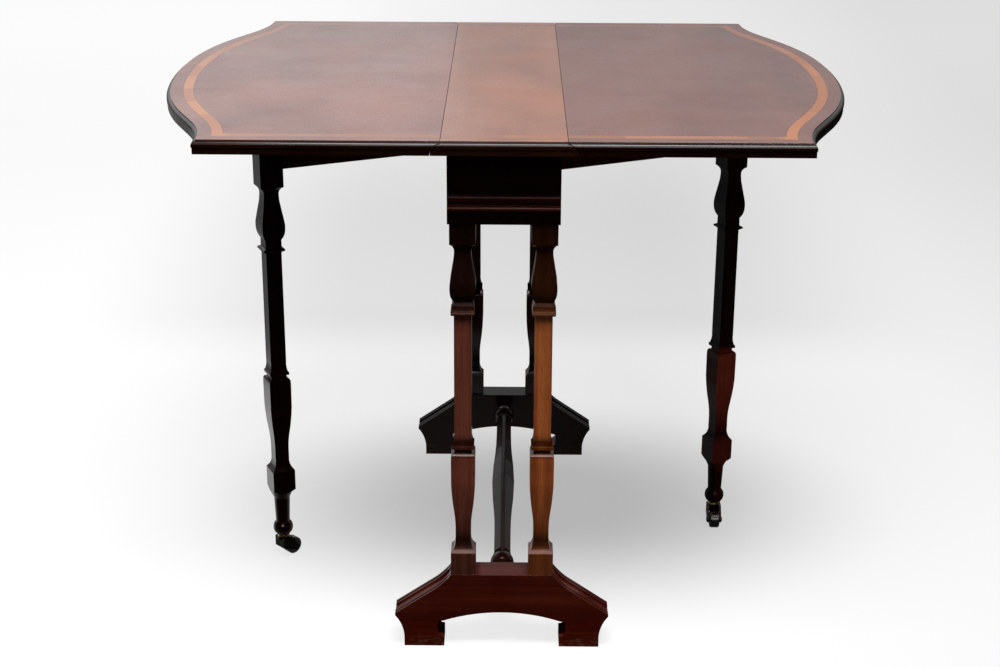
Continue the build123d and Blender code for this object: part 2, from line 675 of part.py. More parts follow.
def foot_front():
    """An arched foot with reeded shoulders and mortises for posts and stretcher."""
    front = -FRAME_END
    back = front + FOOT_THICKNESS
    body = extrude(upright_at(back, foot_outline(REED_INSET)), FOOT_THICKNESS)
    full = foot_outline(0)
    first, gap, second = REED_WIDTHS
    for start, width in ((0, first), (first + gap, second)):
        body += extrude(upright_at(front + start + width, full), width)
        body += extrude(upright_at(back - start, full), width)
    depth = FOOT_TENON_LENGTH + TENON_CLEARANCE
    for side in (-1, 1):
        mortise = tenon_block(TENON_SIZE, depth, FOOT_HEIGHT - depth, TENON_CLEARANCE)
        body -= Pos(side * POST_X, -POST_Y, 0) * mortise
    socket_length = STRETCHER_TENON_LENGTH + TENON_CLEARANCE
    socket = Cylinder(STRETCHER_TENON_RADIUS + TENON_CLEARANCE, 2 * socket_length)
    return body - Pos(0, back, STRETCHER_HEIGHT) * Rot(90, 0, 0) * socket


def stretcher_section(half_width, flat_share, y):
    """A square set on its corner, with its four corners planed off."""
    flat = flat_share * half_width
    points = []
    for quarter in range(4):
        turn = math.radians(90 * quarter)
        for across in (-flat, flat):
            x = half_width * math.cos(turn) - across * math.sin(turn)
            z = half_width * math.sin(turn) + across * math.cos(turn)
            points.append((x, z))
    face = make_face(Polyline(*points, close=True))
    return Pos(0, 0, STRETCHER_HEIGHT) * upright_at(y, face)


def stretcher():
    """The long stretcher: a faceted swelling body and a turned end at each foot."""
    stations = list(zip(STRETCHER_STATION_SHARES, STRETCHER_HALF_WIDTHS, STRETCHER_FLAT_SHARES))
    back_half = [
        stretcher_section(half, flat, -share * STRETCHER_BODY_HALF_LENGTH)
        for share, half, flat in reversed(stations)
    ]
    front_half = [
        stretcher_section(half, flat, share * STRETCHER_BODY_HALF_LENGTH)
        for share, half, flat in stations[1:]
    ]
    body = loft(back_half + front_half, ruled=True)
    inner_face = FRAME_END - FOOT_THICKNESS
    tenon_end = inner_face + STRETCHER_TENON_LENGTH
    collar_start = inner_face - STRETCHER_COLLAR_WIDTH
    ring_start = STRETCHER_BODY_HALF_LENGTH
    ring_end = ring_start + STRETCHER_RING_WIDTH
    ball_reach = math.sqrt(STRETCHER_BALL_RADIUS**2 - STRETCHER_NECK_RADIUS**2)
    ball_start = STRETCHER_BALL_CENTRE - ball_reach
    ball_end = STRETCHER_BALL_CENTRE + ball_reach
    turned = Curve() + [
        Line((0, ring_start), (STRETCHER_NECK_RADIUS, ring_start)),
        ThreePointArc(
            (STRETCHER_NECK_RADIUS, ring_start),
            (STRETCHER_RING_RADIUS, (ring_start + ring_end) / 2),
            (STRETCHER_NECK_RADIUS, ring_end),
        ),
        Line((STRETCHER_NECK_RADIUS, ring_end), (STRETCHER_NECK_RADIUS, ball_start)),
        ThreePointArc(
            (STRETCHER_NECK_RADIUS, ball_start),
            (STRETCHER_BALL_RADIUS, STRETCHER_BALL_CENTRE),
            (STRETCHER_NECK_RADIUS, ball_end),
        ),
        Line((STRETCHER_NECK_RADIUS, ball_end), (STRETCHER_NECK_RADIUS, collar_start)),
        Line((STRETCHER_NECK_RADIUS, collar_start), (STRETCHER_COLLAR_RADIUS, collar_start)),
        Line((STRETCHER_COLLAR_RADIUS, collar_start), (STRETCHER_COLLAR_RADIUS, inner_face)),
        Line((STRETCHER_COLLAR_RADIUS, inner_face), (STRETCHER_TENON_RADIUS, inner_face)),
        Line((STRETCHER_TENON_RADIUS, inner_face), (STRETCHER_TENON_RADIUS, tenon_end)),
        Line((STRETCHER_TENON_RADIUS, tenon_end), (0, tenon_end)),
        Line((0, tenon_end), (0, ring_start)),
    ]
    end = Pos(0, 0, STRETCHER_HEIGHT) * revolve(make_face(turned), Axis.Y)
    return body + end + Rot(0, 0, 180) * end


def knuckle_cut(own):
    """The gaps that one half of a knuckle joint leaves to the other half."""
    depth = GATE_TOP - FRIEZE_BOTTOM
    step = depth / GATE_KNUCKLES
    reach = GATE_RAIL_THICKNESS / 2 + GATE_KNUCKLE_PLAY
    cuts = []
    for i in range(GATE_KNUCKLES):
        if i % 2 != own:
            low = FRIEZE_BOTTOM + i * step - (GATE_KNUCKLE_PLAY / 2 if i else OVERRUN)
            top_gap = GATE_KNUCKLE_PLAY / 2 if i < GATE_KNUCKLES - 1 else OVERRUN
            high = FRIEZE_BOTTOM + (i + 1) * step + top_gap
            cuts.append(between((-HANGER_THICKNESS, -reach, low), (HANGER_THICKNESS, reach, high)))
    return cuts


def knuckle_barrel(low, high):
    """The round end of a knuckled rail."""
    barrel = Cylinder(GATE_RAIL_THICKNESS / 2, high - low, align=UPWARD)
    return Pos(0, 0, low) * barrel


def pin_hole():
    """The hole for the pin of a gate."""
    return Cylinder(GATE_PIN_RADIUS + GATE_PIN_CLEARANCE, 2 * TABLE_HEIGHT)


def gate_hanger(side):
    """The fixed half of a knuckle joint, drawn as on the right."""
    half = HANGER_THICKNESS / 2
    rail = between((-half, -HANGER_LENGTH, FRIEZE_BOTTOM), (half, 0, UNDERSIDE))
    rail -= between((-half, -GATE_RAIL_THICKNESS / 2, FRIEZE_BOTTOM), (half, 0, UNDERSIDE))
    neck = GATE_RAIL_THICKNESS / 2
    rail += between((-neck, -neck, FRIEZE_BOTTOM), (neck, 0, UNDERSIDE))
    rail += knuckle_barrel(FRIEZE_BOTTOM, UNDERSIDE)
    for cut in knuckle_cut(0):
        rail -= cut
    rail = Pos(GATE_PIVOT_X, -pivot_distance(side), 0) * (rail - pin_hole())
    for place in hanger_screw_places(side):
        rail -= Pos(*place) * hanger_screw(SCREW_CLEARANCE)
    return rail


def gate_pin():
    """The iron pin of a knuckle joint, at the origin of its own plan."""
    depth = GATE_TOP - FRIEZE_BOTTOM
    pin = Cylinder(GATE_PIN_RADIUS, depth, align=UPWARD)
    return Pos(0, 0, FRIEZE_BOTTOM) * pin


def gate_tenon(clearance):
    """The tenon that joins a gate rail to its leg, or its mortise."""
    start = GATE_REACH - POST_SIZE / 2
    end = start + GATE_TENON_LENGTH + clearance
    side = GATE_TENON_THICKNESS / 2 + clearance
    low = FRIEZE_BOTTOM + GATE_TENON_SHOULDER - clearance
    high = GATE_TOP - GATE_TENON_SHOULDER + clearance
    return between((-side, start, low), (side, end, high))


def gate_rail():
    """The swinging rail, shut: its pivot is at the origin and it runs along +Y."""
    half = GATE_RAIL_THICKNESS / 2
    rail = between((-half, 0, FRIEZE_BOTTOM), (half, GATE_REACH - POST_SIZE / 2, GATE_TOP))
    rail += knuckle_barrel(FRIEZE_BOTTOM, GATE_TOP)
    for cut in knuckle_cut(1):
        rail -= cut
    return rail - pin_hole() + gate_tenon(0)


def gate_leg():
    """The leg of a gate, shut: square above, turned below, with a ball at its foot."""
    pommel_bottom = LEG_PATTERN_BOTTOM - POMMEL_RUN / 2
    pommel_top = LEG_PATTERN_BOTTOM + POMMEL_RUN / 2
    corner_radius = math.hypot(POST_SIZE, POST_SIZE) / 2 + POMMEL_RUN / 2
    run = (BALL_BOTTOM, LEG_PATTERN_BOTTOM, LEG_PATTERN_TOP, GATE_TOP)
    square = square_upright(LEG_COLLAR_SHARES, *run)
    rise = BALL_HALF_HEIGHT * math.sqrt(1 - (ANKLE_BOTTOM_RADIUS / BALL_RADIUS) ** 2)
    ball_start = (BALL_FOOT_RADIUS, BALL_BOTTOM)
    ball_end = (ANKLE_BOTTOM_RADIUS, BALL_CENTRE + rise)
    turned = Curve() + [
        Line((0, BALL_BOTTOM), ball_start),
        ThreePointArc(ball_start, (BALL_RADIUS, BALL_CENTRE), ball_end),
        Line(ball_end, (ANKLE_TOP_RADIUS, ANKLE_TOP)),
        Line((ANKLE_TOP_RADIUS, ANKLE_TOP), (POST_SIZE / 2, pommel_bottom)),
        Line((POST_SIZE / 2, pommel_bottom), (corner_radius, pommel_top)),
        Line((corner_radius, pommel_top), (corner_radius, GATE_TOP)),
        Line((corner_radius, GATE_TOP), (0, GATE_TOP)),
        Line((0, GATE_TOP), (0, BALL_BOTTOM)),
    ]
    shape = square & revolve(Plane.XZ * make_face(turned), Axis.Z)
    leg = Pos(GATE_LEG_OFFSET, GATE_REACH, 0) * shape
    leg -= Pos(GATE_LEG_OFFSET, GATE_REACH, 0) * castor_pin_hole()
    return leg - gate_tenon(TENON_CLEARANCE)


def castor_pin_hole():
    """The hole in the foot of a leg for the castor's pin."""
    return Cylinder(CASTOR_PIN_RADIUS + CASTOR_PIN_PLAY, 2 * (BALL_BOTTOM + BALL_HALF_HEIGHT))


def castor_cup():
    """The brass collar on the foot of a leg, at the origin of its own plan."""
    cup = Cylinder(CUP_RADIUS, CUP_HEIGHT, align=UPWARD)
    lip = cup.edges().filter_by(GeomType.CIRCLE)
    cup = chamfer(lip, CUP_HEIGHT / 4)
    return Pos(0, 0, CUP_BOTTOM) * cup - castor_pin_hole()


def castor_pin():
    """The pin that a castor swivels on, with a riveted head under the fork."""
    head_top = FORK_TOP - FORK_PLATE_THICKNESS - CASTOR_RUNNING_GAP
    length = BALL_BOTTOM + BALL_HALF_HEIGHT - head_top
    stem = Cylinder(CASTOR_PIN_RADIUS, length, align=UPWARD)
    head = Cylinder(CASTOR_PIN_HEAD_RADIUS, CASTOR_PIN_HEAD_HEIGHT, align=DOWNWARD)
    return Pos(0, 0, head_top) * (stem + head)


def castor_fork():
    """The fork of a castor, trailing along +X from the pin at the origin."""
    plate = Cylinder(FORK_PLATE_RADIUS, FORK_PLATE_THICKNESS, align=DOWNWARD)
    plate = Pos(0, 0, FORK_TOP) * plate
    inner = WHEEL_WIDTH / 2 + WHEEL_SIDE_PLAY
    low = FORK_TOP - FORK_PLATE_THICKNESS
    reach = FORK_BRIDGE_REACH
    width = inner + FORK_ARM_THICKNESS
    plate += between((-reach, -width, low), (reach, width, FORK_TOP))
    plate += between((-reach, -width, FORK_WEB_BOTTOM), (FORK_WEB_THICKNESS - reach, width, FORK_TOP))
    arm = make_hull(
        [
            CenterArc((CASTOR_TRAIL, WHEEL_RADIUS), FORK_ARM_END_RADIUS, 0, 360),
            Line((-reach, FORK_WEB_BOTTOM), (-reach, FORK_TOP)),
            Line((reach, low), (reach, FORK_TOP)),
        ]
    )
    for start in (inner, -width):
        plate += extrude(upright_at(start + FORK_ARM_THICKNESS, arm), FORK_ARM_THICKNESS)
    bore = Pos(CASTOR_TRAIL, 0, WHEEL_RADIUS) * Rot(90, 0, 0)
    plate -= bore * Cylinder(AXLE_RADIUS + AXLE_PLAY, 2 * width + OVERRUN)
    return plate - castor_pin_hole()


def castor_axle():
    """The riveted axle of a castor's wheel."""
    width = WHEEL_WIDTH / 2 + WHEEL_SIDE_PLAY + FORK_ARM_THICKNESS
    axle = Cylinder(AXLE_RADIUS, 2 * width)
    for side in (-1, 1):
        head = Cylinder(AXLE_HEAD_RADIUS, AXLE_HEAD_HEIGHT)
        axle += Pos(0, 0, side * (width + AXLE_HEAD_HEIGHT / 2)) * head
    return Pos(CASTOR_TRAIL, 0, WHEEL_RADIUS) * Rot(90, 0, 0) * axle


def castor_wheel():
    """A castor's wheel with bevelled edges."""
    bore = AXLE_RADIUS + AXLE_PLAY
    rim = WHEEL_RADIUS - WHEEL_CROWN
    side = WHEEL_WIDTH / 2
    outline = Polyline(
        (bore, -side),
        (rim, -side),
        (WHEEL_RADIUS, WHEEL_CROWN - side),
        (WHEEL_RADIUS, side - WHEEL_CROWN),
        (rim, side),
        (bore, side),
        close=True,
    )
    wheel = revolve(make_face(outline), Axis.Y)
    return Pos(CASTOR_TRAIL, 0, WHEEL_RADIUS) * wheel


def leaf_stop():
    """The block that stops a gate, beside the rail of the shut gate's own plan."""
    side = GATE_RAIL_THICKNESS / 2 + STOP_GAP
    return between(
        (side, STOP_DISTANCE, UNDERSIDE - STOP_HEIGHT),
        (side + STOP_WIDTH, STOP_DISTANCE + STOP_LENGTH, UNDERSIDE),
    )


def gate_place(side):
    """Where a gate stands open. The left one is drawn on the right and half turned."""
    opened = Pos(GATE_PIVOT_X, -pivot_distance(side), 0) * Rot(0, 0, -GATE_OPEN_ANGLE)
    return opened if side == "right" else Rot(0, 0, 180) * opened


def castor_place(side):
    """Where a castor stands: on the axis of its leg, turned to its own heading."""
    foot = (gate_place(side) * Pos(GATE_LEG_OFFSET, GATE_REACH, 0)).position
    heading = LEFT_CASTOR_HEADING if side == "left" else RIGHT_CASTOR_HEADING
    return Pos(foot.X, foot.Y, 0) * Rot(0, 0, heading)


def all_parts():
    """Every sub-part, by name."""
    parts = {}
    hinge_rows = even_places(HINGE_COUNT, HINGE_SPACING)

    board = centre_board()
    board -= centre_band(1, BAND_CLEARANCE)
    board -= centre_band(-1, BAND_CLEARANCE)
    recess = hinge_recess(in_leaf=False)
    for y in hinge_rows:
        board -= Pos(0, y, 0) * recess
        board -= half_turn(Pos(0, y, 0) * recess)
    parts["centre_board"] = board
    parts["centre_banding"] = as_group([centre_band(1, 0), centre_band(-1, 0)])

    leaf = leaf_right() - leaf_band(BAND_CLEARANCE)
    pocket = hinge_recess(in_leaf=True)
    for y in hinge_rows:
        leaf -= Pos(0, y, 0) * pocket
    band = leaf_band(0)
    fixed_plate = hinge_plate(on_leaf=False)
    leaf_plate = hinge_plate(on_leaf=True)
    hinge_pin = hinge_axis(0) * Cylinder(HINGE_PIN_RADIUS, HINGE_WIDTH)

    for side, turned in (("right", lambda s: s), ("left", half_turn)):
        parts[f"leaf_{side}"] = turned(leaf)
        parts[f"leaf_banding_{side}"] = turned(band)
        in_rows = (("plates_fixed", fixed_plate), ("plates_leaf", leaf_plate), ("pins", hinge_pin))
        for name, piece in in_rows:
            parts[f"hinge_{name}_{side}"] = as_group(turned(Pos(0, y, 0) * piece) for y in hinge_rows)
        for name, on_leaf in (("fixed", False), ("leaf", True)):
            parts[f"hinge_screws_{name}_{side}"] = as_group(
                turned(Pos(x, y + row, UNDERSIDE) * hinge_screw())
                for row in hinge_rows
                for x, y in hinge_screw_places(on_leaf)
            )
        parts[f"side_rail_{side}"] = turned(side_rail(side))
        parts[f"gate_hanger_{side}"] = turned(gate_hanger(side))
        parts[f"hanger_screws_{side}"] = as_group(
            turned(Pos(*spot) * hanger_screw()) for spot in hanger_screw_places(side)
        )
        place = gate_place(side)
        parts[f"leaf_stop_{side}"] = place * leaf_stop()
        parts[f"gate_pin_{side}"] = place * gate_pin()
        parts[f"gate_rail_{side}"] = place * gate_rail()
        parts[f"gate_leg_{side}"] = place * gate_leg()
        castor = castor_place(side)
        parts[f"castor_cup_{side}"] = castor * castor_cup()
        parts[f"castor_pin_{side}"] = castor * castor_pin()
        parts[f"castor_fork_{side}"] = castor * castor_fork()
        parts[f"castor_axle_{side}"] = castor * castor_axle()
        parts[f"castor_wheel_{side}"] = castor * castor_wheel()

    parts["glue_blocks"] = glue_blocks()
    frieze = frieze_front()
    foot = foot_front()
    parts["frieze_front"] = frieze
    parts["frieze_back"] = half_turn(frieze)
    parts["foot_front"] = foot
    parts["foot_back"] = half_turn(foot)
    parts["stretcher"] = stretcher()
    upright = post()
    for end, y in (("front", -POST_Y), ("back", POST_Y)):
        for side, x in (("left", -POST_X), ("right", POST_X)):
            parts[f"post_{end}_{side}"] = Pos(x, y, 0) * upright
    return parts


os.makedirs("parts", exist_ok=True)
for name, shape in all_parts().items():
    export_step(shape, f"parts/{name}.step")
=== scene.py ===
"""Looks for the sutherland table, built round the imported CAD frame. Blender 4.5, metres, Z up."""

import math

import bpy
from mathutils import Matrix, Vector

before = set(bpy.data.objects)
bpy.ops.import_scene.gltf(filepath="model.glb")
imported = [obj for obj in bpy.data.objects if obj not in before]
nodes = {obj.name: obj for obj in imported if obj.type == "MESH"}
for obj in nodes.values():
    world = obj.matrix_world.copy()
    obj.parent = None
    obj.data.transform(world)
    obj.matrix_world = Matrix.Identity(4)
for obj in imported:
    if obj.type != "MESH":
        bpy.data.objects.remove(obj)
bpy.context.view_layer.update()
scene = bpy.context.scene

# Camera, solved from the straight edges and seams in the photograph: place, aim and lens
IMAGE_WIDTH = 1000
FOCAL_PIXELS = 1760.1
SENSOR_WIDTH = 36.0
CAMERA_PLACE = (0.0081, -2.3652, 1.2125)
CAMERA_YAW = -0.0059
CAMERA_PITCH = 0.3602
CAMERA_ROLL = 0.0050

# Angle of the open gates from the rule joints; a gate rail's grain runs along its gate
GATE_ANGLE = math.radians(65.0)
GATE_GRAIN = {
    "left": (-math.sin(GATE_ANGLE), -math.cos(GATE_ANGLE), 0.0),
    "right": (math.sin(GATE_ANGLE), math.cos(GATE_ANGLE), 0.0),
}
TOP_Z = 0.700
UP = (0.0, 0.0, 1.0)
ACROSS = (1.0, 0.0, 0.0)
ALONG = (0.0, 1.0, 0.0)


def rgb(red, green, blue):
    return (red, green, blue, 1.0)


def grey(level):
    return rgb(level, level, level)


# Noise layers: stretch along three axes (the third is the grain in wood), detail, roughness, distortion
WAVES = ((7.0, 7.0, 1.3), 2.0, 0.5, 0.0)
RIBBON = ((75.0, 75.0, 1.8), 3.0, 0.55, 0.35)
FIBRE = ((620.0, 620.0, 9.0), 2.0, 0.5, 0.0)
MOTTLE = ((6.0, 6.0, 14.0), 2.0, 0.6, 0.8)
PORES = ((1700.0, 1700.0, 70.0), 1.0, 0.5, 0.0)
CLOUDS = ((5.5, 4.5, 5.0), 1.5, 0.45, 0.0)
SMUDGES = ((11.0, 11.0, 11.0), 3.0, 0.6, 0.0)
SCUFFS = ((90.0, 90.0, 160.0), 3.0, 0.65, 0.0)
BAND_FIBRE = ((900.0, 3.0, 1.0), 3.0, 0.6, 0.0)
BAND_STREAK = ((120.0, 3.0, 1.0), 2.0, 0.5, 0.0)
SCRATCHES = ((2600.0, 260.0, 900.0), 2.0, 0.5, 0.0)
TREAD_SCUFFS = ((420.0, 420.0, 420.0), 4.0, 0.65, 0.0)

# Spans: where a value starts and ends to change, and in most of them the results there
NOISE_RANGE = (0.3, 0.7)
PORE_BAND = (0.60, 0.68)
CLOUD_BAND = (0.40, 0.66, 0.0, 0.8)
UPPER_FACE = (TOP_Z - 0.0011, TOP_Z - 0.0004)
SCUFF_HEIGHT = (0.0, 0.022, 1.0, 0.0)
SCUFF_BAND = (0.48, 0.62, 0.0, 0.6)
FOOT_POLISH_HEIGHT = (0.030, 0.050)
ARRIS_RUB = (0.0022, 0.0045, 0.35, 1.0)
# Painted shade on one face of a gate leg, by how far that face looks along a direction
DARK_FACE = (0.35, 0.75, 1.0, 0.12)

# Shares of the layers in the figure of wood, with "lines" at 1 and at 0
RIBBON_SHARE = 0.5
FIBRE_SHARE = 0.16
WAVES_SHARE = 0.72
MOTTLE_SHARE = 0.28
FIGURE_STOPS = (0.34, 0.5, 0.66)
PORE_ROUGHNESS = 0.12
FIBRE_RELIEF = 0.35
WOOD_FINISH = {
    "lines": 1.0, "pores": 0.55, "clouds": None, "shade": None, "worn": None, "roughness": (0.34, 0.46),
    "specular": 0.06, "coat": 0.8, "coat_ior": 1.3, "coat_roughness": 0.08, "edge": 0.0007, "relief": 0.00012,
}
TOP_FINISH = {
    "roughness": (0.30, 0.40), "specular": 0.5, "coat": 0.55, "coat_ior": 1.5, "coat_roughness": 0.18,
    "edge": 0.0005, "lines": 0.25, "relief": 0.00002, "pores": 0.2,
}
INSIDE_FINISH = {"coat": 0.0, "roughness": (0.5, 0.65)}

# Moulded edge of the top, against its upper face: share of the colour left by painted shade, and share of the
# sheen
EDGE_SHADE_SHARE = 0.06
EDGE_SHEEN = 0.08

# Heights between which the lip of a post is rubbed dull, and the height over which the rubbing fades
LIP_BAND = (0.2815, 0.2960)
LIP_FADE = 0.002

# Shares of the wood's colour that paint shade on the form: lit faces, half shade, shade in recesses, shade
# under the top, and the frieze in the top's shade
LIT_TONE = 0.75
HALF_SHADE_TONE = 0.35
DEEP_SHADE_TONE = 0.10
UNDER_TOP_SHADE_TONE = 0.06
FRIEZE_SHADE_TONE = 0.03

# A post between foot and frieze, by the form: its block, neck, lower baluster, groove, ring, cove, shaft,
# collar and upper baluster, as shares of its height
POST_BOTTOM = 0.106
POST_TOP = 0.585
# Painted shade on the posts: dark in the grooves and recesses and under the top, light on the open faces
POST_LEVEL_SHARES = (
    (0.0, HALF_SHADE_TONE), (0.065, HALF_SHADE_TONE), (0.085, DEEP_SHADE_TONE), (0.105, DEEP_SHADE_TONE),
    (0.19, LIT_TONE), (0.345, LIT_TONE), (0.361, DEEP_SHADE_TONE), (0.370, DEEP_SHADE_TONE), (0.374, LIT_TONE),
    (0.380, DEEP_SHADE_TONE), (0.395, DEEP_SHADE_TONE), (0.410, LIT_TONE), (0.70, LIT_TONE),
    (0.75, HALF_SHADE_TONE), (0.775, DEEP_SHADE_TONE), (0.80, UNDER_TOP_SHADE_TONE),
)
POST_RUN = POST_TOP - POST_BOTTOM
POST_LEVELS = tuple((POST_BOTTOM + share * POST_RUN, tone) for share, tone in POST_LEVEL_SHARES)

# Gate legs, painted shade by height: the left one darker above its groove; the right one is lighter below its
# groove, on the block and the lower baluster, and dark above it
LEFT_LEG_LEVELS = ((0.30, 1.0), (0.40, 0.6))
RIGHT_LEG_LEVELS = (
    (0.085, DEEP_SHADE_TONE), (0.105, HALF_SHADE_TONE), (0.135, HALF_SHADE_TONE), (0.150, DEEP_SHADE_TONE),
    (0.200, LIT_TONE), (0.280, LIT_TONE), (0.292, UNDER_TOP_SHADE_TONE),
)

# Front frieze: painted shade under the top, with painted highlights on the ovolo and astragal
FRIEZE_LEVELS = (
    (0.602, FRIEZE_SHADE_TONE), (0.604, LIT_TONE), (0.607, LIT_TONE), (0.609, DEEP_SHADE_TONE), (0.614, DEEP_SHADE_TONE),
    (0.616, HALF_SHADE_TONE), (0.620, HALF_SHADE_TONE), (0.622, FRIEZE_SHADE_TONE),
)

# Painted highlights along edges of the posts: height, half width, strength
POST_HIGHLIGHTS = ((0.1390, 0.0024, 0.42), (0.2765, 0.0010, 0.40), (0.4690, 0.0012, 0.35))
PAINTED_HIGHLIGHT = rgb(0.42, 0.27, 0.23)

# Colours of the boards, as linear light: dark, middle and light figure
TOP_TONES = (rgb(0.100, 0.021, 0.013), rgb(0.160, 0.040, 0.025), rgb(0.225, 0.068, 0.042))
CENTRE_TONES = (rgb(0.150, 0.042, 0.020), rgb(0.225, 0.072, 0.036), rgb(0.300, 0.110, 0.058))
POST_TONES = (rgb(0.038, 0.0080, 0.0050), rgb(0.086, 0.0220, 0.0130), rgb(0.135, 0.0460, 0.0260))
FOOT_TONES = (rgb(0.034, 0.0024, 0.0010), rgb(0.074, 0.0074, 0.0030), rgb(0.118, 0.0180, 0.0075))
RED_TONES = (rgb(0.038, 0.0042, 0.0020), rgb(0.086, 0.0120, 0.0056), rgb(0.135, 0.0260, 0.0110))
WARM_TONES = (rgb(0.070, 0.0150, 0.0040), rgb(0.150, 0.0380, 0.0100), rgb(0.230, 0.0700, 0.0200))
PINE_TONES = (rgb(0.28, 0.15, 0.065), rgb(0.40, 0.24, 0.11), rgb(0.50, 0.33, 0.17))
SCUFF_TONE = rgb(0.16, 0.085, 0.055)

# Banding: the curved sides of the leaves are brighter than the straight ends, and both dull with Y
BAND_STOPS = (0.3, 0.5, 0.7)
BAND_SIDE_TONES = (rgb(0.27, 0.065, 0.010), rgb(0.39, 0.112, 0.020), rgb(0.52, 0.200, 0.058))
BAND_SIDE_FAR = rgb(0.27, 0.075, 0.035)
BAND_END_TONES = (rgb(0.17, 0.043, 0.012), rgb(0.28, 0.084, 0.024), rgb(0.38, 0.135, 0.045))
BAND_END_FAR = rgb(0.19, 0.056, 0.030)
BAND_SIDE_X = (0.322, 0.330)
BAND_FAR_Y = (0.05, 0.36)
BAND_STREAK_SHIFT = 0.08
BAND_METRES_PER_RADIAN = 0.42
BAND_PIECES_PER_METRE = 14.0
BAND_FIBRE_SHARE, BAND_STREAK_SHARE, BAND_PIECE_SHARE = 0.45, 0.35, 0.2

# Wheel of the castors: stops of the scuffs with their tones
WHEEL_STOPS = (0.35, 0.75)
WHEEL_TONES = (rgb(0.005, 0.004, 0.003), rgb(0.03, 0.020, 0.015))

# Studio, by direction of the ray: the backdrop that only glossy rays see, and a small window in it
ROOM_LIGHT = 0.08
BACKDROP_SEEN = 0.95
GLOSS_BY_Y = (-0.1, 0.6, 0.0, 0.80)
GLOSS_BY_X = (-0.6, 0.6, 1.15, 0.7)
GLOSS_UPPER_Z = (0.36, 0.47, 0.94, 0.66)
GLOSS_LOWER_Z = (0.0, 0.3, 0.3, 1.0)
WINDOW_DIRECTION = (0.06, -0.85, 0.523)
WINDOW_EDGE = (0.970, 0.984, 0.0, 7.0)

# Floor, by place: paper that the camera sees, with a glow of painted light, brighter at the left, and a
# painted shadow as a darker pool under the table
FLOOR_HALF = 7.0
FLOOR_SEEN = grey(0.26)
FLOOR_BOUNCE = grey(0.22)
POOL_CENTRE = (0.05, 0.12, 0.0)
POOL_STRETCH = (2.3, 3.2, 0.0)
POOL = (0.25, 1.35, 0.57, 1.0)
MIDDLE_BY_X = (0.30, 0.95, 0.72, 1.0)
MIDDLE_NEAR_Y = (0.65, 1.0, 0.0, 1.0)
MIDDLE_FAR_Y = (1.5, 3.2, 1.0, 0.15)
GLOW_BY_X = (-0.6, 1.4, 0.86, 0.64)
GLOW_FAR_Y = (2.0, 4.0, 1.0, 1.08)

# Floor, as glossy rays see it: a glow that paints reflections
SHINE_LEFT_X = (-0.45, -0.25, 1.2, 0.5)
SHINE_RIGHT_X = (-0.1, 0.4, 1.0, 0.08)
SHINE_NEAR_Y = (-0.15, 0.05)
SHINE_FAR_Y = (0.35, 0.60, 1.0, 0.25)


# Node helpers: each returns the socket that the next node reads

def put(socket, value):
    """Links a socket to an input, or sets the input's own value."""
    if isinstance(value, bpy.types.NodeSocket):
        socket.id_data.links.new(value, socket)
    else:
        socket.default_value = value


def made(tree, kind, inputs, **settings):
    node = tree.nodes.new(kind)
    for key, value in settings.items():
        setattr(node, key, value)
    for key, value in inputs.items():
        put(node.inputs[key], value)
    return node


def calc(tree, operation, *values):
    return made(tree, "ShaderNodeMath", dict(enumerate(values)), operation=operation).outputs[0]


def product(tree, first, *others):
    for other in others:
        first = calc(tree, "MULTIPLY", first, other)
    return first


def vector(tree, operation, *values):
    out = made(tree, "ShaderNodeVectorMath", dict(enumerate(values)), operation=operation)
    return out.outputs["Value" if operation in ("DOT_PRODUCT", "LENGTH") else "Vector"]


def layer(tree, place, kind):
    stretch, detail, roughness, distortion = kind
    stretched = vector(tree, "MULTIPLY", place, stretch)
    inputs = {
        "Vector": stretched, "Scale": 1.0, "Detail": detail, "Roughness": roughness, "Distortion": distortion,
    }
    return made(tree, "ShaderNodeTexNoise", inputs).outputs["Fac"]


def span(tree, value, low, high, out_low=0.0, out_high=1.0, smooth=False):
    inputs = {"Value": value, "From Min": low, "From Max": high, "To Min": out_low, "To Max": out_high}
    kind = "SMOOTHSTEP" if smooth else "LINEAR"
    return made(tree, "ShaderNodeMapRange", inputs, interpolation_type=kind).outputs["Result"]


def blended(tree, factor, first, second, kind="MIX"):
    inputs = {0: factor, 6: first, 7: second}
    return made(tree, "ShaderNodeMix", inputs, data_type="RGBA", blend_type=kind).outputs[2]


def between(tree, factor, first, second):
    return made(tree, "ShaderNodeMix", {0: factor, 2: first, 3: second}, data_type="FLOAT").outputs[0]


def ramp(tree, factor, stops):
    node = made(tree, "ShaderNodeValToRGB", {"Fac": factor})
    elements = node.color_ramp.elements
    while len(elements) < len(stops):
        elements.new(0.5)
    for element, (position, colour) in zip(elements, stops):
        element.position = position
        element.color = colour
    return node.outputs["Color"]


def bump(tree, height, distance, strength, normal=None):
    inputs = {"Height": height, "Distance": distance, "Strength": strength}
    if normal is not None:
        inputs["Normal"] = normal
    return made(tree, "ShaderNodeBump", inputs).outputs["Normal"]


def eased_edges(tree, radius):
    return made(tree, "ShaderNodeBevel", {"Radius": radius}, samples=4).outputs["Normal"]


def new_tree(name):
    material = bpy.data.materials.new(name)
    material.use_nodes = True
    tree = material.node_tree
    tree.nodes.clear()
    return material, tree


def new_material(name):
    material, tree = new_tree(name)
    shader = tree.nodes.new("ShaderNodeBsdfPrincipled")
    made(tree, "ShaderNodeOutputMaterial", {"Surface": shader.outputs["BSDF"]})
    return material, tree, shader


def own_place(tree):
    """Coordinates that stay with the piece when its body moves."""
    return made(tree, "ShaderNodeTexCoord", {}).outputs["Object"]


def axes(tree, place):
    return made(tree, "ShaderNodeSeparateXYZ", {"Vector": place}).outputs


